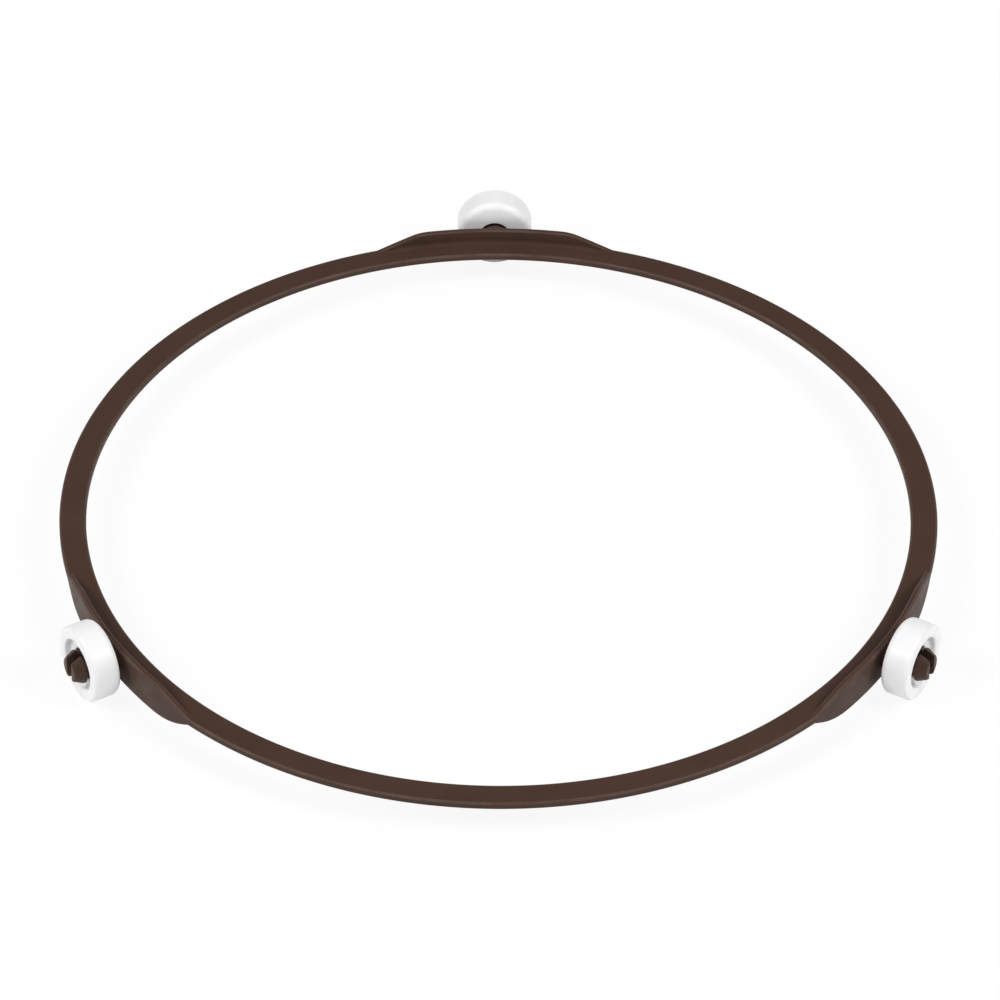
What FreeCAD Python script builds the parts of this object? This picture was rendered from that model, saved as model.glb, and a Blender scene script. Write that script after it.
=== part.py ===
import FreeCAD, Part
import math
import os

# Roller ring that carries a turntable tray: one moulded ring and three rollers snapped onto its pins.
# Millimetres, +Z up. The origin is the ring's centre, halfway up the flat band.
# Everything at a station is modelled at the rear station, on the +Y side, and then turned into place.

# Flat band of the ring
ring_outer_diameter = 200.0
band_width = 6.1
band_thickness = 1.75
band_edge_radius = 0.4

# Stations around the ring, counted anticlockwise from above, starting at the rear
station_names = ["rear", "left", "right"]

# Upright wall, a little back from the band's outer edge: straight slopes above the band, round ends below it
wall_set_back = 0.1
wall_thickness = 1.4
wall_rise = 3.6
wall_drop = 3.55
wall_length = 56.4
wall_slope_length = 10.2
wall_shoulder_radius = 12.0
wall_lower_end_radius = 19.0
wall_root_radius = 1.0
wall_edge_radius = 0.2
wall_edge_share_of_foot = 0.5

# Axle: collar and split snap pin on the wall's outer face
pin_height = 0.2
collar_diameter = 7.8
pin_diameter = 5.9
pin_slot_width = 2.2
pin_slot_depth = 6.2
barb_length = 0.3
head_diameter = 7.8
head_land_length = 0.4
head_tip_diameter = 5.6
head_tip_edge_radius = 0.4
head_reach = 2.0

# Roller
roller_diameter = 17.8
roller_width = 6.6
roller_stand_off = 1.7
roller_outer_edge_radius = 0.8
roller_inner_edge_radius = 1.5
recess_depth = 1.4
recess_lip_radius = 0.6
recess_root_radius = 0.5

# Clearances between the rollers and the ring, which hangs in the loose rollers by its pins
pin_clearance = 0.6
seat_clearance = 0.05
head_clearance = 1.95
end_clearance = 0.5

# Sizes that follow from those above
ring_radius = ring_outer_diameter / 2
band_top = band_thickness / 2
foot_height = band_top - band_edge_radius
wall_outer_radius = ring_radius - wall_set_back
wall_inner_radius = wall_outer_radius - wall_thickness
wall_root_limit = wall_inner_radius - wall_root_radius
wall_root_top = band_top + wall_root_radius
wall_top = band_top + wall_rise
wall_bottom = -band_top - wall_drop
wall_round = min(wall_edge_radius, wall_edge_share_of_foot * foot_height)
roller_height = pin_height + pin_clearance - seat_clearance
roller_inner_face = ring_radius + roller_stand_off
roller_outer_face = roller_inner_face + roller_width
recess_floor = roller_outer_face - recess_depth
recess_diameter = head_diameter + 2 * head_clearance
bore_diameter = pin_diameter + 2 * pin_clearance
collar_end = roller_inner_face - end_clearance
barb_start = recess_floor + end_clearance
head_tip = roller_outer_face + head_reach
station_pitch = 360.0 / len(station_names)

# Directions, and the sampling and tolerance for finding edges
centre = FreeCAD.Vector(0, 0, 0)
upward = FreeCAD.Vector(0, 0, 1)
outward = FreeCAD.Vector(0, 1, 0)
points_per_edge = 5
near_enough = 1e-6


def turned_at(height, outline):
    """Solid turned about the rear station's axis, from (distance from the ring's centre, diameter) pairs."""
    corners = [FreeCAD.Vector(0, reach, height + across / 2) for reach, across in outline]
    profile = Part.makePolygon(corners + corners[:1])
    return Part.Face(profile).revolve(upward * height, outward, 360)


def circles_at(solid, reach, across):
    """Round edges of a turned solid, at one distance from the ring's centre and one diameter."""
    found = []
    for edge in solid.Edges:
        if isinstance(edge.Curve, Part.Circle):
            same_reach = abs(edge.Curve.Center.y - reach) < near_enough
            if same_reach and abs(2 * edge.Curve.Radius - across) < near_enough:
                found.append(edge)
    return found


def outline_edges(wall):
    """Edges of the wall's outline on its two curved faces, where they stand clear of the band."""
    found = []
    for edge in wall.Edges:
        points = edge.discretize(points_per_edge)
        heights = [abs(point.z) for point in points]
        at_root = all(abs(height - wall_root_top) < near_enough for height in heights)
        in_band = max(heights) < band_top
        for radius in (wall_outer_radius, wall_inner_radius):
            on_face = all(abs(math.hypot(point.x, point.y) - radius) < near_enough for point in points)
            if on_face and not at_root and not in_band:
                found.append(edge)
    return found


def make_band_share():
    """Rear station's share of the flat band, with its four long edges rounded."""
    base = upward * -band_top
    blank = Part.makeCylinder(ring_radius, band_thickness, base, upward, station_pitch)
    opening = Part.makeCylinder(ring_radius - band_width, band_thickness, base)
    share = blank.cut(opening)
    rims = [edge for edge in share.Edges if isinstance(edge.Curve, Part.Circle)]
    share = share.makeFillet(band_edge_radius, rims)
    return share.rotated(centre, upward, 90 - station_pitch / 2)


def wall_section():
    """Section of the wall across the ring, with a rounded root on the band's top and bottom faces."""
    bend = wall_root_radius * (1 - math.cos(math.pi / 4))

    def at(radius, height):
        return FreeCAD.Vector(radius, 0, height)

    def straight(start, end):
        return Part.LineSegment(start, end).toShape()

    outer_bottom = at(wall_outer_radius, wall_bottom)
    outer_top = at(wall_outer_radius, wall_top)
    inner_top = at(wall_inner_radius, wall_top)
    inner_bottom = at(wall_inner_radius, wall_bottom)
    upper_root = [
        at(wall_inner_radius, wall_root_top),
        at(wall_inner_radius - bend, band_top + bend),
        at(wall_root_limit, band_top),
    ]
    lower_root = [at(point.x, -point.z) for point in reversed(upper_root)]
    return Part.Wire([
        straight(outer_bottom, outer_top),
        straight(outer_top, inner_top),
        straight(inner_top, upper_root[0]),
        Part.Arc(*upper_root).toShape(),
        straight(upper_root[-1], lower_root[0]),
        Part.Arc(*lower_root).toShape(),
        straight(lower_root[-1], inner_bottom),
        straight(inner_bottom, outer_bottom),
    ])


def arc_run(radius, depth):
    """Length along a level line over which an arc that leaves it smoothly comes away by a depth."""
    return math.sqrt(2 * radius * depth - depth ** 2)


def wall_outline():
    """Block with the wall's outline as seen from outside, and half its length at the foot."""
    near = wall_root_limit - band_width
    far = ring_radius + band_width
    half_level = wall_length / 2 - wall_slope_length
    upper_foot = half_level + wall_slope_length * (wall_rise + band_edge_radius) / wall_rise
    lower_depth = wall_drop + band_edge_radius
    lower_start = wall_length / 2 - arc_run(wall_lower_end_radius, wall_drop)
    lower_foot = lower_start + arc_run(wall_lower_end_radius, lower_depth)
    halfway = wall_bottom + lower_depth / 4
    lower_middle = lower_start + arc_run(wall_lower_end_radius, lower_depth / 4)

    def at(across, height):
        return FreeCAD.Vector(across, near, height)

    edges = [Part.makePolygon([
        at(-lower_foot, -foot_height),
        at(-upper_foot, foot_height),
        at(-half_level, wall_top),
        at(half_level, wall_top),
        at(upper_foot, foot_height),
        at(lower_foot, -foot_height),
    ])]
    for side in (1, -1):
        foot = at(side * lower_foot, -foot_height)
        middle = at(side * lower_middle, halfway)
        start = at(side * lower_start, wall_bottom)
        edges.append(Part.Arc(foot, middle, start).toShape())
    edges.append(Part.LineSegment(at(lower_start, wall_bottom), at(-lower_start, wall_bottom)).toShape())
    wire = Part.Wire(Part.__sortEdges__([piece for edge in edges for piece in edge.Edges]))
    block = Part.Face(wire).extrude(outward * (far - near))
    shoulders = []
    for edge in block.Edges:
        middle = edge.CenterOfMass
        at_top = abs(middle.z - wall_top) < near_enough
        if at_top and abs(abs(middle.x) - half_level) < near_enough:
            shoulders.append(edge)
    return block.makeFillet(wall_shoulder_radius, shoulders), max(upper_foot, lower_foot)


def make_wall():
    """Upright wall of the rear station, its edges rounded as far as the foot inside the band allows."""
    block, half_foot = wall_outline()
    half_angle = math.degrees(math.asin(half_foot / wall_root_limit)) + 1
    sector = Part.Face(wall_section()).revolve(centre, upward, 2 * half_angle)
    sector.rotate(centre, upward, 90 - half_angle)
    wall = sector.common(block)
    return wall.makeFillet(wall_round, outline_edges(wall))


def make_pin():
    """Collar and split snap pin of the rear station, with its upright slot."""
    root = wall_outer_radius - wall_thickness / 2
    head_start = barb_start + barb_length
    pin = turned_at(pin_height, [
        (root, 0),
        (root, collar_diameter),
        (collar_end, collar_diameter),
        (collar_end, pin_diameter),
        (barb_start, pin_diameter),
        (head_start, head_diameter),
        (head_start + head_land_length, head_diameter),
        (head_tip, head_tip_diameter),
        (head_tip, 0),
    ])
    pin = pin.makeFillet(head_tip_edge_radius, circles_at(pin, head_tip, head_tip_diameter))
    corner = FreeCAD.Vector(-pin_slot_width / 2, head_tip - pin_slot_depth, pin_height - head_diameter)
    slot = Part.makeBox(pin_slot_width, 2 * pin_slot_depth, 2 * head_diameter, corner)
    return pin.cut(slot)


def make_support_ring():
    """Whole moulding, joined from equal shares with a stretch of band, a wall and a pin in each."""
    share = make_band_share().fuse(make_wall().fuse(make_pin()))
    turned = [share.rotated(centre, upward, index * station_pitch) for index in range(len(station_names))]
    return turned[0].fuse(turned[1:]).removeSplitter()


def make_roller():
    """Roller of the rear station, with the recess for the pin's heads in its outer face."""
    roller = turned_at(roller_height, [
        (roller_inner_face, bore_diameter),
        (roller_inner_face, roller_diameter),
        (roller_outer_face, roller_diameter),
        (roller_outer_face, recess_diameter),
        (recess_floor, recess_diameter),
        (recess_floor, bore_diameter),
    ])
    rounded_edges = [
        (roller_inner_face, roller_diameter, roller_inner_edge_radius),
        (roller_outer_face, roller_diameter, roller_outer_edge_radius),
        (roller_outer_face, recess_diameter, recess_lip_radius),
        (recess_floor, recess_diameter, recess_root_radius),
    ]
    for reach, across, radius in rounded_edges:
        roller = roller.makeFillet(radius, circles_at(roller, reach, across))
    return roller


def save(shape, node):
    """Write one piece, after a test that it is one sound solid."""
    if not shape.isValid() or len(shape.Solids) != 1:
        raise ValueError(node + " is not one sound solid")
    shape.Solids[0].exportStep(os.path.join("parts", node + ".step"))
    print(node, round(shape.Volume, 3), "cubic millimetres")


os.makedirs("parts", exist_ok=True)
save(make_support_ring(), "support_ring")
for index, name in enumerate(station_names):
    save(make_roller().rotated(centre, upward, index * station_pitch), name + "_roller")
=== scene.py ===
"""Microwave roller ring: its moulded pieces, their finishes, the studio and the camera."""

import logging
import math
from dataclasses import dataclass
from enum import Enum

import bmesh
import bpy
from bmesh.types import BMEdge, BMesh, BMFace, BMVert
from bpy.types import Material, Mesh, Node, NodeSocket, Object
from mathutils import Matrix, Vector


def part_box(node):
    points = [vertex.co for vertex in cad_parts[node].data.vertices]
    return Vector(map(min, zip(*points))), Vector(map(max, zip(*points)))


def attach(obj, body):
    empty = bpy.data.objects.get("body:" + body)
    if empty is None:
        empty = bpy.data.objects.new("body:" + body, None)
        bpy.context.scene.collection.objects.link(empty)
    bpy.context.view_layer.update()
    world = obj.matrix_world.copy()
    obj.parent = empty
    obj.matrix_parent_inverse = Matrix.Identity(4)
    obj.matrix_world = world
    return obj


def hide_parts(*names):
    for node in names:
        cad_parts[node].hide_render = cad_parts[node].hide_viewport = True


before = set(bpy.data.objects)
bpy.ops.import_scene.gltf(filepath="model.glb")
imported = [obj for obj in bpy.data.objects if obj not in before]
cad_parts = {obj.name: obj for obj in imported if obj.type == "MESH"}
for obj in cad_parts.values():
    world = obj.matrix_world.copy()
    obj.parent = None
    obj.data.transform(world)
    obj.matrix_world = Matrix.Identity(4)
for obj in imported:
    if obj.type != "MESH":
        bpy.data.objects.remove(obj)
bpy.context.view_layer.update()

log = logging.getLogger("roller_ring")

# Points closer than this are one point, in metres
MERGE_DISTANCE = 2e-6

# Decimals of a metre that corners keep after two meshes are combined
SETTLED_DIGITS = 7

# Face attribute that marks the narrow rounds along outer edges, for wear and for painted highlight lines,
# and the bend that is too sharp for a round
EDGE_WEAR_AND_HIGHLIGHT = "wear_and_highlight"
TOO_SHARP = math.pi / 3

Colour = tuple[float, float, float, float]
WHITE: Colour = (1.0, 1.0, 1.0, 1.0)


class Station(Enum):
    """The three places on the ring that carry a roller, anticlockwise from above."""

    REAR = "rear"
    LEFT = "left"
    RIGHT = "right"

    @property
    def node(self) -> str:
        """Name of the CAD roller at this station."""
        return f"{self.value}_roller"

    @property
    def body(self) -> str:
        """Name of the body that the roller belongs to."""
        return f"{self.value}_wheel"

    @property
    def turn(self) -> Matrix:
        """Rotation about the ring's axis from the rear station to this one."""
        share = list(Station).index(self) / len(Station)
        return Matrix.Rotation(share * math.tau, 4, "Z")


class Joining(Enum):
    """Ways to combine two closed meshes."""

    ADD = "UNION"
    CUT = "DIFFERENCE"


def arc(start: Vector, corner: Vector, end: Vector, steps: int) -> list[Vector]:
    """Round a square corner of a section with a quarter circle.

    Args:
        start: Where the round begins, on one leg of the corner.
        corner: The square corner itself.
        end: Where the round ends, on the other leg.
        steps: Number of straight steps along the round.

    Returns:
        Points from start to end, both included.
    """
    middle = start + end - corner
    points = []
    for step in range(steps + 1):
        angle = step / steps * math.pi / 2
        points.append(middle + (start - middle) * math.cos(angle) + (end - middle) * math.sin(angle))
    return points


def closed_up(bm: BMesh) -> BMesh:
    """Merge doubles and turn every face outwards.

    Args:
        bm: Mesh to close.

    Returns:
        The same mesh.
    """
    bmesh.ops.remove_doubles(bm, verts=bm.verts[:], dist=MERGE_DISTANCE)
    bmesh.ops.dissolve_degenerate(bm, edges=bm.edges[:], dist=MERGE_DISTANCE)
    bmesh.ops.recalc_face_normals(bm, faces=bm.faces[:])
    return bm


def as_object(bm: BMesh, name: str) -> Object:
    """Turn a finished mesh into an object at the origin.

    Args:
        bm: Finished mesh, which is freed.
        name: Name of the piece.

    Returns:
        The new object.
    """
    mesh = bpy.data.meshes.new(name)
    bm.to_mesh(mesh)
    bm.free()
    obj = bpy.data.objects.new(name, mesh)
    bpy.context.scene.collection.objects.link(obj)
    return obj


def in_fixed_order(mesh: Mesh) -> None:
    """Put a mesh's corners and faces in a fixed order, because combining leaves them in a chance one.

    Args:
        mesh: Mesh to put in order.
    """
    places = [tuple(round(size, SETTLED_DIGITS) for size in vert.co) for vert in mesh.vertices]
    order = sorted(range(len(places)), key=places.__getitem__)
    rank = {old: new for new, old in enumerate(order)}
    loops = []
    for face in mesh.polygons:
        loop = [rank[corner] for corner in face.vertices]
        first = loop.index(min(loop))
        loops.append(loop[first:] + loop[:first])
    bm = bmesh.new()
    corners = [bm.verts.new(places[old]) for old in order]
    for loop in sorted(loops):
        bm.faces.new([corners[number] for number in loop])
    bm.to_mesh(mesh)
    bm.free()


def combine(obj: Object, tool: Object, joining: Joining) -> None:
    """Combine a piece with a second mesh, which is used up.

    Args:
        obj: Piece that keeps the result.
        tool: Mesh to add or to cut with.
        joining: Way to combine them.
    """
    step = obj.modifiers.new(joining.name, "BOOLEAN")
    step.operation = joining.value
    step.solver = "EXACT"
    step.object = tool
    graph = bpy.context.evaluated_depsgraph_get()
    result = bpy.data.meshes.new_from_object(obj.evaluated_get(graph))
    in_fixed_order(result)
    obj.modifiers.clear()
    obj.data = result
    bpy.data.objects.remove(tool)


def mark_wear_and_highlight(obj: Object, least_bend: float) -> None:
    """Mark the narrow rounds along a piece's outer edges, where handling wears it, and where the brown piece
    gets painted highlight lines.

    Args:
        obj: Piece to mark.
        least_bend: Least turn, over a face's two sharpest edges, that makes it part of a round.
    """
    bm = bmesh.new()
    bm.from_mesh(obj.data)
    wear_and_highlight = bm.faces.layers.float.new(EDGE_WEAR_AND_HIGHLIGHT)
    for face in bm.faces:
        bends = sorted((edge.calc_face_angle_signed(0.0) for edge in face.edges), reverse=True)
        face[wear_and_highlight] = 1.0 if bends[0] < TOO_SHARP and bends[0] + bends[1] > least_bend else 0.0
    bm.to_mesh(obj.data)
    bm.free()


def shade(obj: Object, sharp_angle: float) -> None:
    """Shade a piece smoothly, with its flat faces kept flat beside small rounds.

    Args:
        obj: Piece to shade.
        sharp_angle: Edges that turn by more than this stay sharp.
    """
    obj.data.shade_smooth()
    obj.data.set_sharp_from_angle(angle=sharp_angle)
    weighted = obj.modifiers.new("flat_faces", "WEIGHTED_NORMAL")
    weighted.keep_sharp = True


@dataclass(frozen=True)
class Axle:
    """Level axis at the rear station, which the turned shapes there are spun about."""

    height: float
    steps: int = 96

    def spun(self, outline: list[tuple[float, float]], loop: bool) -> BMesh:
        """Spin an outline about the axis.

        Args:
            outline: Pairs of reach from the ring's centre and radius about the axis.
            loop: Whether the last point joins the first.

        Returns:
            A closed mesh.
        """
        bm = bmesh.new()
        corners = [bm.verts.new((0.0, reach, self.height + radius)) for reach, radius in outline]
        followers = corners[1:] + corners[:1] if loop else corners[1:]
        edges = [bm.edges.new(pair) for pair in zip(corners, followers)]
        bmesh.ops.spin(
            bm, geom=corners + edges, cent=(0.0, 0.0, self.height), axis=(0.0, 1.0, 0.0),
            dvec=(0.0, 0.0, 0.0), angle=math.tau, steps=self.steps, use_merge=True,
        )
        return closed_up(bm)

    def circle(self, bm: BMesh, reach: float, radius: float) -> list[BMEdge]:
        """Find the edges of one circle about the axis.

        Args:
            bm: Turned mesh.
            reach: Distance of the circle from the ring's centre.
            radius: Radius of the circle.

        Returns:
            The circle's edges.
        """
        def lies_on(vert: BMVert) -> bool:
            """Whether a corner is on the circle."""
            across = math.hypot(vert.co.x, vert.co.z - self.height)
            return abs(vert.co.y - reach) < MERGE_DISTANCE and abs(across - radius) < MERGE_DISTANCE

        return [edge for edge in bm.edges if all(lies_on(vert) for vert in edge.verts)]

    def rounded(self, bm: BMesh, reach: float, radius: float, edge_radius: float, steps: int) -> None:
        """Round one circular edge of a turned mesh.

        Args:
            bm: Turned mesh.
            reach: Distance of the edge from the ring's centre.
            radius: Radius of the edge about the axis.
            edge_radius: Distance that the round takes up on each side of the edge.
            steps: Number of steps along the round.
        """
        bmesh.ops.bevel(
            bm, geom=self.circle(bm, reach, radius), offset=edge_radius, offset_type="OFFSET",
            segments=steps, profile=0.5, affect="EDGES", material=-1,
        )


class Graph:
    """The shader nodes of one material."""

    def __init__(self, name: str) -> None:
        """Start an empty material.

        Args:
            name: Name of the material.
        """
        self.material: Material = bpy.data.materials.new(name)
        self.material.use_nodes = True
        self.tree = self.material.node_tree
        self.tree.nodes.clear()

    def add(self, kind: str, inputs: dict[str | int, object], **settings: object) -> Node:
        """Add one node.

        Args:
            kind: Node type.
            inputs: Values or linked sockets by input name or number.
            **settings: Properties of the node itself.

        Returns:
            The new node.
        """
        node = self.tree.nodes.new(kind)
        for key, value in settings.items():
            setattr(node, key, value)
        for key, value in inputs.items():
            self.feed(node.inputs[key], value)
        return node

    def feed(self, socket: NodeSocket, value: object) -> None:
        """Link a socket, or set its value.

        Args:
            socket: Input to feed.
            value: Value, or the output that it takes its value from.
        """
        if isinstance(value, NodeSocket):
            self.tree.links.new(value, socket)
        else:
            socket.default_value = value

    def noise(self, where: NodeSocket, size: float, detail: float) -> NodeSocket:
        """Add a soft noise.

        Args:
            where: Coordinates in metres.
            size: Size of its patches in metres.
            detail: Number of finer layers.

        Returns:
            The noise's value, from 0 to 1.
        """
        node = self.add("ShaderNodeTexNoise", {"Vector": where, "Scale": 1 / size, "Detail": detail})
        return node.outputs["Fac"]

    def spread(self, value: NodeSocket, low: float, high: float,
               middle: tuple[float, float] = (0.3, 0.7)) -> NodeSocket:
        """Map part of a value's range to another range.

        Args:
            value: Value to map, such as a noise.
            low: Result at and below the middle's low end.
            high: Result at and above its high end.
            middle: Part of the value's range that is mapped.

        Returns:
            The mapped value.
        """
        node = self.add("ShaderNodeMapRange", {
            "Value": value, "From Min": middle[0], "From Max": middle[1], "To Min": low, "To Max": high,
        })
        return node.outputs["Result"]

    def times(self, first: object, second: object) -> NodeSocket:
        """Multiply two values."""
        return self.add("ShaderNodeMath", {0: first, 1: second}, operation="MULTIPLY").outputs[0]

    def blend(self, factor: NodeSocket, first: object, second: object) -> NodeSocket:
        """Blend two colours.

        Args:
            factor: Share of the second colour.
            first: Colour, or a linked socket.
            second: Colour, or a linked socket.

        Returns:
            The blended colour.
        """
        node = self.add("ShaderNodeMix", {}, data_type="RGBA")
        values = {"Factor": factor, "A": first, "B": second}
        for socket in node.inputs:
            if socket.enabled and socket.name in values:
                self.feed(socket, values[socket.name])
        return next(socket for socket in node.outputs if socket.enabled)

    def finish(self, shader: Node) -> Material:
        """Join the shader to the material's output and return the material."""
        self.add("ShaderNodeOutputMaterial", {"Surface": shader.outputs[0]})
        return self.material


@dataclass(frozen=True)
class MouldedPlastic:
    """Moulded plastic with a faint drift of colour, specks, worn edges that on the brown moulding also carry
    painted highlight lines, a fine grain and an uneven gloss.
    """

    name: str
    colour: Colour
    drift_colour: Colour
    drift_size: float
    wear_and_highlight_colour: Colour
    wear_and_highlight_share: float
    speck_colour: Colour
    speck_spacing: float
    speck_radius: float
    roughness: tuple[float, float]
    specular: float
    grain_size: float
    grain_depth: float
    subsurface: float = 0.0
    subsurface_depth: float = 0.001
    subsurface_tint: tuple[float, float, float] = (1.0, 1.0, 1.0)
    least_wear_and_highlight: float = 0.25
    speck_strength: float = 0.7
    speck_chance: tuple[float, float] = (0.5, 0.9)

    def wear_and_highlight(self, graph: Graph, where: NodeSocket) -> NodeSocket:
        """Share of wear and painted highlight: uneven, and only along the marked edges.

        Args:
            graph: Material under way.
            where: Coordinates in metres.

        Returns:
            The share, from 0 to 1.
        """
        marked = graph.add("ShaderNodeAttribute", {}, attribute_name=EDGE_WEAR_AND_HIGHLIGHT).outputs["Fac"]
        uneven = graph.spread(graph.noise(where, self.drift_size / 2, 4.0), self.least_wear_and_highlight, 1.0)
        return graph.times(graph.times(marked, uneven), self.wear_and_highlight_share)

    def specks(self, graph: Graph, where: NodeSocket) -> NodeSocket:
        """Share of specks: a few small soft dots, scattered at random.

        Args:
            graph: Material under way.
            where: Coordinates in metres.

        Returns:
            The share, from 0 to 1.
        """
        cells = graph.add("ShaderNodeTexVoronoi", {"Vector": where, "Scale": 1 / self.speck_spacing})
        reach = self.speck_radius / self.speck_spacing
        dot = graph.spread(cells.outputs["Distance"], 1.0, 0.0, (reach / 2, reach))
        chance = graph.add("ShaderNodeSeparateColor", {"Color": cells.outputs["Color"]}).outputs["Red"]
        return graph.times(dot, graph.spread(chance, 0.0, self.speck_strength, self.speck_chance))

    def material(self) -> Material:
        """Make the plastic's material.

        Returns:
            The material, on Object coordinates.
        """
        graph = Graph(self.name)
        where = graph.add("ShaderNodeTexCoord", {}).outputs["Object"]
        drift = graph.spread(graph.noise(where, self.drift_size, 4.0), 0.0, 1.0)
        colour = graph.blend(drift, self.colour, self.drift_colour)
        # Edge rounds take a colour of their own: wear, and on the brown moulding a lighter painted highlight
        # line
        colour = graph.blend(self.wear_and_highlight(graph, where), colour, self.wear_and_highlight_colour)
        colour = graph.blend(self.specks(graph, where), colour, self.speck_colour)
        gloss = graph.spread(graph.noise(where, self.drift_size / 3, 3.0), *self.roughness)
        bump = graph.add("ShaderNodeBump", {
            "Height": graph.noise(where, self.grain_size, 2.0), "Distance": self.grain_depth,
            "Strength": 1.0,
        })
        shader = graph.add("ShaderNodeBsdfPrincipled", {
            "Base Color": colour, "Roughness": gloss, "Normal": bump.outputs["Normal"],
            "Specular IOR Level": self.specular, "Subsurface Weight": self.subsurface,
            "Subsurface Scale": self.subsurface_depth, "Subsurface Radius": self.subsurface_tint,
        })
        return graph.finish(shader)


BROWN_PLASTIC = MouldedPlastic(
    name="brown_moulding",
    colour=(0.071, 0.0387, 0.0272, 1.0),
    drift_colour=(0.062, 0.0332, 0.0232, 1.0),
    drift_size=0.012,
    # Lighter brown on the edge rounds: wear, and a painted highlight line along them
    wear_and_highlight_colour=(0.135, 0.092, 0.077, 1.0),
    wear_and_highlight_share=0.6,
    speck_colour=(0.11, 0.075, 0.06, 1.0),
    speck_spacing=0.004,
    speck_radius=0.00012,
    roughness=(0.42, 0.54),
    specular=0.13,
    grain_size=0.0005,
    grain_depth=0.00001,
)

WHITE_PLASTIC = MouldedPlastic(
    name="white_moulding",
    colour=(0.95, 0.95, 0.955, 1.0),
    drift_colour=(0.925, 0.925, 0.935, 1.0),
    drift_size=0.004,
    wear_and_highlight_colour=(0.86, 0.86, 0.85, 1.0),
    wear_and_highlight_share=0.3,
    speck_colour=(0.45, 0.42, 0.40, 1.0),
    speck_spacing=0.006,
    speck_radius=0.00016,
    roughness=(0.34, 0.46),
    specular=0.4,
    grain_size=0.0006,
    grain_depth=0.000006,
    subsurface=0.3,
    subsurface_depth=0.0015,
)


@dataclass(frozen=True)
class Roller:
    """White roller with a rounded rim and a round recess for the pin's heads."""

    inner_face: float
    outer_face: float
    radius: float
    axle: Axle
    bore_radius: float = 0.00355
    recess_radius: float = 0.00585
    recess_depth: float = 0.0014
    inner_edge_radius: float = 0.0015
    outer_edge_radius: float = 0.0008
    lip_radius: float = 0.0006
    recess_root_radius: float = 0.0005
    bore_edge_radius: float = 0.00015
    wear_and_highlight_bend: float = math.radians(20)
    sharp_angle: float = math.radians(40)

    def mesh(self) -> BMesh:
        """Spin the roller at the rear station and round its edges.

        Returns:
            A closed mesh.
        """
        floor = self.outer_face - self.recess_depth
        bm = self.axle.spun([
            (self.inner_face, self.bore_radius),
            (self.inner_face, self.radius),
            (self.outer_face, self.radius),
            (self.outer_face, self.recess_radius),
            (floor, self.recess_radius),
            (floor, self.bore_radius),
        ], loop=True)
        rounds = [
            (self.inner_face, self.radius, self.inner_edge_radius, 12),
            (self.outer_face, self.radius, self.outer_edge_radius, 8),
            (self.outer_face, self.recess_radius, self.lip_radius, 7),
            (floor, self.recess_radius, self.recess_root_radius, 6),
            (floor, self.bore_radius, self.bore_edge_radius, 3),
            (self.inner_face, self.bore_radius, self.bore_edge_radius, 3),
        ]
        for reach, radius, edge_radius, steps in rounds:
            self.axle.rounded(bm, reach, radius, edge_radius, steps)
        return closed_up(bm)

    def build(self, station: Station, material: Material) -> Object:
        """Build and dress the roller of one station.

        Args:
            station: Where the roller goes.
            material: Its finish.

        Returns:
            The roller, riding on its body.
        """
        bm = self.mesh()
        bmesh.ops.transform(bm, matrix=station.turn, verts=bm.verts[:])
        obj = as_object(bm, f"{station.value}_wheel_moulding")
        mark_wear_and_highlight(obj, self.wear_and_highlight_bend)
        shade(obj, self.sharp_angle)
        obj.data.materials.append(material)
        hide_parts(station.node)
        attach(obj, station.body)
        return obj


@dataclass(frozen=True)
class StationWall:
    """Upright wall at each station: straight slopes above the band, round ends below it."""

    thickness: float = 0.0015
    rise: float = 0.0036
    drop: float = 0.00355
    half_length: float = 0.0282
    slope_length: float = 0.0102
    shoulder_radius: float = 0.012
    lower_end_radius: float = 0.019
    root_radius: float = 0.001
    inner_edge_radius: float = 0.00035
    outer_edge_radius: float = 0.0006

    def rise_at(self, across: float) -> float:
        """Height of the wall above the band.

        Args:
            across: Distance from the station's middle, along the wall.

        Returns:
            The height, which is zero past the wall's ends.
        """
        distance = abs(across)
        level_end = self.half_length - self.slope_length
        angle = math.atan2(self.rise, self.slope_length)
        tangent = self.shoulder_radius * math.tan(angle / 2)
        round_start = level_end - tangent
        round_end = level_end + tangent * math.cos(angle)
        if distance <= round_start:
            return self.rise
        if distance <= round_end:
            along = distance - round_start
            return self.rise - self.shoulder_radius + math.sqrt(self.shoulder_radius ** 2 - along ** 2)
        return max(0.0, self.rise * (self.half_length - distance) / self.slope_length)

    def drop_at(self, across: float) -> float:
        """Depth of the wall below the band.

        Args:
            across: Distance from the station's middle, along the wall.

        Returns:
            The depth, which is zero past the wall's ends.
        """
        distance = abs(across)
        radius = self.lower_end_radius
        round_start = self.half_length - math.sqrt(2 * radius * self.drop - self.drop ** 2)
        if distance <= round_start:
            return self.drop
        if distance >= self.half_length:
            return 0.0
        along = distance - round_start
        return max(0.0, self.drop - radius + math.sqrt(radius ** 2 - along ** 2))


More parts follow.
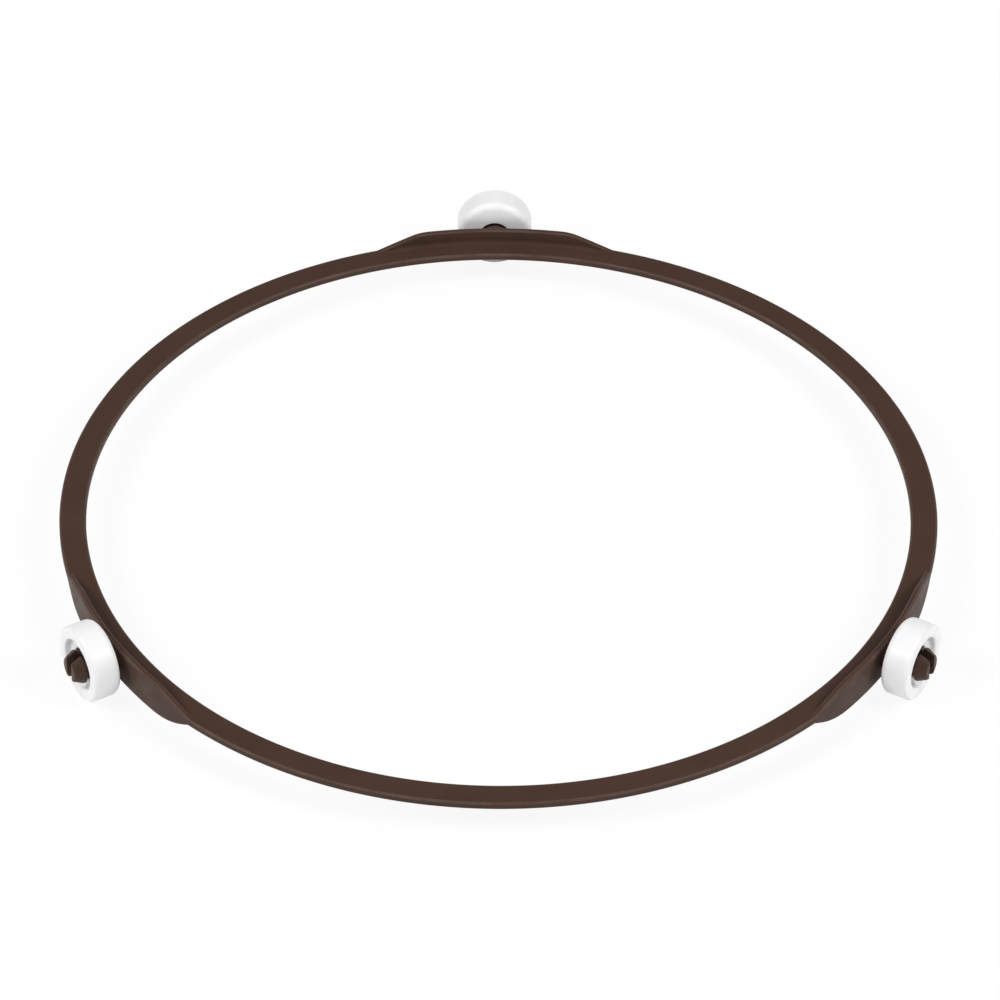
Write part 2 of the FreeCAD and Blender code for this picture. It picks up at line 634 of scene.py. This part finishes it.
@dataclass(frozen=True)
class SnapPin:
    """Collar and split snap pin that stand on a wall's outer face."""

    root: float
    collar_end: float
    barb_start: float
    tip: float
    axle: Axle
    collar_radius: float = 0.0039
    collar_edge_radius: float = 0.0002
    radius: float = 0.00295
    slot_width: float = 0.0022
    slot_depth: float = 0.0062
    slot_edge_radius: float = 0.00012
    barb_length: float = 0.0003
    head_radius: float = 0.0039
    head_land: float = 0.0004
    head_edge_radius: float = 0.00012
    tip_radius: float = 0.0028
    tip_edge_radius: float = 0.0004
    sideways: float = 0.999
    rim_bend: float = math.pi / 6

    def turned(self) -> BMesh:
        """Spin the collar and the whole pin, which start inside the wall.

        Returns:
            A closed mesh with no slot.
        """
        head = self.barb_start + self.barb_length
        land_end = head + self.head_land
        bm = self.axle.spun([
            (self.root, 0.0),
            (self.root, self.collar_radius),
            (self.collar_end, self.collar_radius),
            (self.collar_end, self.radius),
            (self.barb_start, self.radius),
            (head, self.head_radius),
            (land_end, self.head_radius),
            (self.tip, self.tip_radius),
            (self.tip, 0.0),
        ], loop=False)
        self.axle.rounded(bm, self.collar_end, self.collar_radius, self.collar_edge_radius, 3)
        self.axle.rounded(bm, head, self.head_radius, self.head_edge_radius, 2)
        self.axle.rounded(bm, land_end, self.head_radius, self.head_edge_radius, 2)
        self.axle.rounded(bm, self.tip, self.tip_radius, self.tip_edge_radius, 4)
        return closed_up(bm)

    def slot(self) -> BMesh:
        """Make the upright block that the slot is cut with.

        Returns:
            The block's mesh.
        """
        bm = bmesh.new()
        bmesh.ops.create_cube(bm, size=1.0)
        bmesh.ops.scale(
            bm, vec=(self.slot_width, 2 * self.slot_depth, 4 * self.head_radius), verts=bm.verts[:],
        )
        bmesh.ops.translate(bm, vec=(0.0, self.tip, self.axle.height), verts=bm.verts[:])
        return bm

    def soften(self, bm: BMesh) -> None:
        """Round the long edges where the slot's walls meet the outside of the prongs.

        Args:
            bm: Pin with its slot cut.
        """
        def is_slot_wall(face: BMFace) -> bool:
            """Whether a face is one of the slot's two walls."""
            beside = abs(abs(face.calc_center_median().x) - self.slot_width / 2) < MERGE_DISTANCE
            return beside and abs(face.normal.x) > self.sideways

        rims = []
        for edge in bm.edges:
            walls = [is_slot_wall(face) for face in edge.link_faces]
            if walls.count(True) == 1 and edge.calc_face_angle_signed(0.0) > self.rim_bend:
                rims.append(edge)
        bmesh.ops.bevel(
            bm, geom=rims, offset=self.slot_edge_radius, offset_type="OFFSET", segments=2,
            profile=0.5, affect="EDGES", material=-1, clamp_overlap=True,
        )

    def mesh(self) -> BMesh:
        """Turn the pin, cut its slot and soften the slot's edges.

        Returns:
            A closed mesh of the rear station's pin.
        """
        pin = as_object(self.turned(), "pin_blank")
        combine(pin, as_object(self.slot(), "slot_block"), Joining.CUT)
        bm = bmesh.new()
        bm.from_mesh(pin.data)
        bpy.data.objects.remove(pin)
        self.soften(bm)
        return closed_up(bm)


@dataclass(frozen=True)
class SupportRing:
    """Brown moulding: the flat band, and at each station a wall with its collar and snap pin."""

    radius: float
    wall: StationWall
    pin: SnapPin
    band_width: float = 0.0061
    band_thickness: float = 0.00175
    top_edge_radius: float = 0.0005
    bottom_edge_radius: float = 0.0004
    steps: int = 1080
    round_steps: int = 4
    wear_and_highlight_bend: float = math.radians(30)
    sharp_angle: float = math.radians(32)

    def section(self, rise: float, drop: float) -> list[Vector]:
        """Work out the ring's section where its wall has a given height.

        Args:
            rise: Height of the wall above the band.
            drop: Depth of the wall below the band.

        Returns:
            Points of radius and height, always as many, so that they meet where there is no wall.
        """
        top = self.band_thickness / 2
        inside = self.radius - self.band_width
        inner_rounds = []
        for sign, edge in ((-1, self.bottom_edge_radius), (1, self.top_edge_radius)):
            bend = arc(
                Vector((inside + edge, sign * top)), Vector((inside, sign * top)),
                Vector((inside, sign * (top - edge))), self.round_steps,
            )
            inner_rounds.extend(bend if sign < 0 else reversed(bend))
        upper = self.wall_side(rise, self.top_edge_radius)
        under = self.wall_side(drop, self.bottom_edge_radius)
        lower = [Vector((point.x, -point.y)) for point in reversed(under)]
        return inner_rounds + upper + lower

    def wall_side(self, height: float, band_edge: float) -> list[Vector]:
        """Work out the section of a wall from its root to the ring's outer face.

        Args:
            height: Height of the wall over the band.
            band_edge: Radius of the band's outer edge, where there is no wall.

        Returns:
            Points of radius and height, from the root outwards.
        """
        base = self.band_thickness / 2
        top = base + height
        inner = self.radius - self.wall.thickness
        root = min(self.wall.root_radius, height / 2)
        edge = min(self.wall.inner_edge_radius, height / 2)
        share = min(1.0, height / (2 * self.wall.outer_edge_radius))
        rim = band_edge + share * (self.wall.outer_edge_radius - band_edge)
        root_bend = arc(
            Vector((inner - root, base)), Vector((inner, base)), Vector((inner, base + root)),
            self.round_steps,
        )
        inner_bend = arc(
            Vector((inner, top - edge)), Vector((inner, top)), Vector((inner + edge, top)),
            self.round_steps,
        )
        outer_bend = arc(
            Vector((self.radius - rim, top)), Vector((self.radius, top)), Vector((self.radius, top - rim)),
            self.round_steps,
        )
        return root_bend + inner_bend + outer_bend

    def station_offset(self, angle: float) -> float:
        """Angle from the nearest station's middle."""
        pitch = math.tau / len(Station)
        return (angle - math.pi / 2 + pitch / 2) % pitch - pitch / 2

    def band_with_walls(self) -> BMesh:
        """Spin the section at full height, then lower the walls to their outline.

        Returns:
            A closed mesh of the ring with no pins.
        """
        full = self.section(self.wall.rise, self.wall.drop)
        plain = self.section(0.0, 0.0)
        bm = bmesh.new()
        place = bm.verts.layers.int.new("place")
        corners = [bm.verts.new((point.x, 0.0, point.y)) for point in full]
        edges = [bm.edges.new(pair) for pair in zip(corners, corners[1:] + corners[:1])]
        for number, corner in enumerate(corners):
            corner[place] = number
        bmesh.ops.spin(
            bm, geom=corners + edges, cent=(0.0, 0.0, 0.0), axis=(0.0, 0.0, 1.0),
            dvec=(0.0, 0.0, 0.0), angle=math.tau, steps=self.steps, use_merge=True,
        )
        for vert in bm.verts:
            angle = math.atan2(vert.co.y, vert.co.x)
            across = full[vert[place]].x * math.sin(self.station_offset(angle))
            rise, drop = self.wall.rise_at(across), self.wall.drop_at(across)
            point = (self.section(rise, drop) if rise or drop else plain)[vert[place]]
            vert.co = Vector((point.x * math.cos(angle), point.x * math.sin(angle), point.y))
        bm.verts.layers.int.remove(place)
        return closed_up(bm)

    def pins(self) -> BMesh:
        """Make the pin of the rear station, then repeat it at the others.

        Returns:
            One mesh with the three pins.
        """
        bm = self.pin.mesh()
        first = bm.verts[:] + bm.edges[:] + bm.faces[:]
        for station in list(Station)[1:]:
            copy = bmesh.ops.duplicate(bm, geom=first)["geom"]
            verts = [part for part in copy if isinstance(part, BMVert)]
            bmesh.ops.transform(bm, matrix=station.turn, verts=verts)
        return bm

    def build(self, material: Material) -> Object:
        """Build and dress the whole moulding.

        Args:
            material: Its finish.

        Returns:
            The moulding, riding on the ring's body.
        """
        obj = as_object(self.band_with_walls(), "ring_moulding")
        combine(obj, as_object(self.pins(), "pins"), Joining.ADD)
        # Mark the edge rounds for wear and for the painted highlight lines
        mark_wear_and_highlight(obj, self.wear_and_highlight_bend)
        shade(obj, self.sharp_angle)
        obj.data.materials.clear()
        obj.data.materials.append(material)
        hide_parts("support_ring")
        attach(obj, "ring")
        return obj


@dataclass(frozen=True)
class SoftLamp:
    """Square lamp with soft shadows that faces the ring's centre."""

    name: str
    azimuth: float
    elevation: float
    distance: float
    size: float
    power: float

    def hang(self) -> None:
        """Hang the lamp."""
        light = bpy.data.lights.new(self.name, "AREA")
        light.shape = "SQUARE"
        light.size = self.size
        light.energy = self.power
        level = self.distance * math.cos(self.elevation)
        place = Vector((
            level * math.cos(self.azimuth), level * math.sin(self.azimuth),
            self.distance * math.sin(self.elevation),
        ))
        obj = bpy.data.objects.new(self.name, light)
        obj.location = place
        obj.rotation_euler = (-place).to_track_quat("-Z", "Y").to_euler()
        bpy.context.scene.collection.objects.link(obj)


LAMPS = (
    SoftLamp(
        name="left_lamp", azimuth=math.radians(203), elevation=math.radians(42),
        distance=1.8, size=0.6, power=17.0,
    ),
    SoftLamp(
        name="right_lamp", azimuth=math.radians(337), elevation=math.radians(42),
        distance=1.8, size=0.6, power=17.0,
    ),
    SoftLamp(
        name="back_lamp", azimuth=math.radians(90), elevation=math.radians(72),
        distance=1.8, size=0.7, power=3.0,
    ),
)


@dataclass(frozen=True)
class Studio:
    """Pale floor that turns up at its edge, soft lamps above it, and the camera."""

    floor_height: float
    floor_radius: float = 3.0
    rim_radius: float = 4.8
    rim_height: float = 1.2
    floor_steps: int = 96
    floor_colour: Colour = (0.95, 0.95, 0.95, 1.0)
    white_share: float = 0.9
    white_level: float = 1.01
    world_level: float = 0.21
    lens_share: float = 6.4143
    sensor_width: float = 36.0
    camera_target: tuple[float, float, float] = (-0.00013, 0.00018, 0.000725)
    camera_distance: float = 1.4626
    camera_elevation: float = math.radians(39.934)
    camera_turn: float = math.radians(-0.74)
    camera_pan: float = math.radians(-0.018)
    camera_tilt: float = math.radians(0.060)
    camera_roll: float = math.radians(-0.352)
    camera_reach: float = 20.0

    def floor_material(self) -> Material:
        """White floor that still takes the object's shadow.

        Returns:
            The floor's material.
        """
        graph = Graph("studio_floor")
        path = graph.add("ShaderNodeLightPath", {})
        seen = graph.add("ShaderNodeMath", {
            0: path.outputs["Is Camera Ray"], 1: path.outputs["Is Glossy Ray"],
        }, operation="MAXIMUM")
        seen = graph.add("ShaderNodeMath", {
            0: seen.outputs[0], 1: path.outputs["Is Transmission Ray"],
        }, operation="MAXIMUM")
        matt = graph.add("ShaderNodeBsdfDiffuse", {"Color": self.floor_colour})
        white = graph.add("ShaderNodeEmission", {"Color": WHITE, "Strength": self.white_level})
        shader = graph.add("ShaderNodeMixShader", {
            0: graph.times(seen.outputs[0], self.white_share), 1: matt.outputs[0], 2: white.outputs[0],
        })
        return graph.finish(shader)

    def floor(self) -> None:
        """Spin the floor: flat in the middle, turned up at the edge."""
        bm = bmesh.new()
        outline = [(0.0, 0.0), (self.floor_radius, 0.0), (self.rim_radius, self.rim_height)]
        corners = [bm.verts.new((reach, 0.0, self.floor_height + lift)) for reach, lift in outline]
        edges = [bm.edges.new(pair) for pair in zip(corners, corners[1:])]
        bmesh.ops.spin(
            bm, geom=corners + edges, cent=(0.0, 0.0, 0.0), axis=(0.0, 0.0, 1.0),
            dvec=(0.0, 0.0, 0.0), angle=math.tau, steps=self.floor_steps, use_merge=True,
        )
        closed_up(bm)
        if next(iter(bm.faces)).normal.z < 0:
            bmesh.ops.reverse_faces(bm, faces=bm.faces[:])
        obj = as_object(bm, "studio_floor")
        obj.data.shade_smooth()
        obj.data.materials.append(self.floor_material())

    def light_up(self) -> None:
        """Set the even light of the room and hang the lamps."""
        world = bpy.data.worlds.new("studio_room")
        world.use_nodes = True
        background = world.node_tree.nodes["Background"]
        background.inputs["Color"].default_value = WHITE
        background.inputs["Strength"].default_value = self.world_level
        bpy.context.scene.world = world
        for lamp in LAMPS:
            lamp.hang()

    def camera(self) -> None:
        """Set up the camera at the photo's angle."""
        away = Vector((0.0, -math.cos(self.camera_elevation), math.sin(self.camera_elevation)))
        forward = -away
        right = Vector((1.0, 0.0, 0.0))
        upward = right.cross(forward)
        pan = Matrix.Rotation(self.camera_pan, 3, upward)
        forward, right = pan @ forward, pan @ right
        tilt = Matrix.Rotation(self.camera_tilt, 3, right)
        forward, upward = tilt @ forward, tilt @ upward
        roll = Matrix.Rotation(self.camera_roll, 3, forward)
        right, upward = roll @ right, roll @ upward
        axes = Matrix((right, upward, -forward)).transposed().to_4x4()
        target = Matrix.Translation(self.camera_target)
        place = Matrix.Translation(away * self.camera_distance)
        lens = bpy.data.cameras.new("photo_camera")
        lens.sensor_width = self.sensor_width
        lens.lens = self.lens_share * self.sensor_width
        lens.clip_end = self.camera_reach
        obj = bpy.data.objects.new("photo_camera", lens)
        obj.matrix_world = target @ Matrix.Rotation(self.camera_turn, 4, "Z") @ place @ axes
        bpy.context.scene.collection.objects.link(obj)
        bpy.context.scene.camera = obj

    def build(self) -> None:
        """Lay the floor, light it and set the camera."""
        self.floor()
        self.light_up()
        self.camera()
        bpy.context.scene.view_settings.view_transform = "Standard"


def pin_height(reach: float) -> float:
    """Find the height of the pins' axis.

    Args:
        reach: Distance from the ring's centre past which only the rear pin's head lies.

    Returns:
        The height halfway up that head.
    """
    heights = [vert.co.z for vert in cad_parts["support_ring"].data.vertices if vert.co.y > reach]
    return (min(heights) + max(heights)) / 2


def main() -> None:
    """Build every piece in order, then the studio."""
    logging.basicConfig(level=logging.INFO, format="%(name)s: %(message)s")
    ring_low, ring_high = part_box("support_ring")
    roller_low, roller_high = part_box(Station.REAR.node)
    roller = Roller(
        inner_face=roller_low.y, outer_face=roller_high.y, radius=(roller_high.z - roller_low.z) / 2,
        axle=Axle(height=(roller_low.z + roller_high.z) / 2),
    )
    wall = StationWall()
    outer_radius = -ring_low.y
    end_clearance = 0.0005
    pin = SnapPin(
        root=outer_radius - wall.thickness / 2,
        collar_end=roller.inner_face - end_clearance,
        barb_start=roller.outer_face - roller.recess_depth + end_clearance,
        tip=ring_high.y,
        axle=Axle(height=pin_height(roller.outer_face)),
    )
    log.info("ring radius %.5f, pin height %.5f", outer_radius, pin.axle.height)
    log.info("roller radius %.5f", roller.radius)
    ring = SupportRing(radius=outer_radius, wall=wall, pin=pin)
    piece = ring.build(BROWN_PLASTIC.material())
    log.info("%s has %d faces", piece.name, len(piece.data.polygons))
    white = WHITE_PLASTIC.material()
    for station in Station:
        piece = roller.build(station, white)
        log.info("%s has %d faces", piece.name, len(piece.data.polygons))
    Studio(floor_height=roller_low.z).build()


if __name__ == "__main__":
    main()
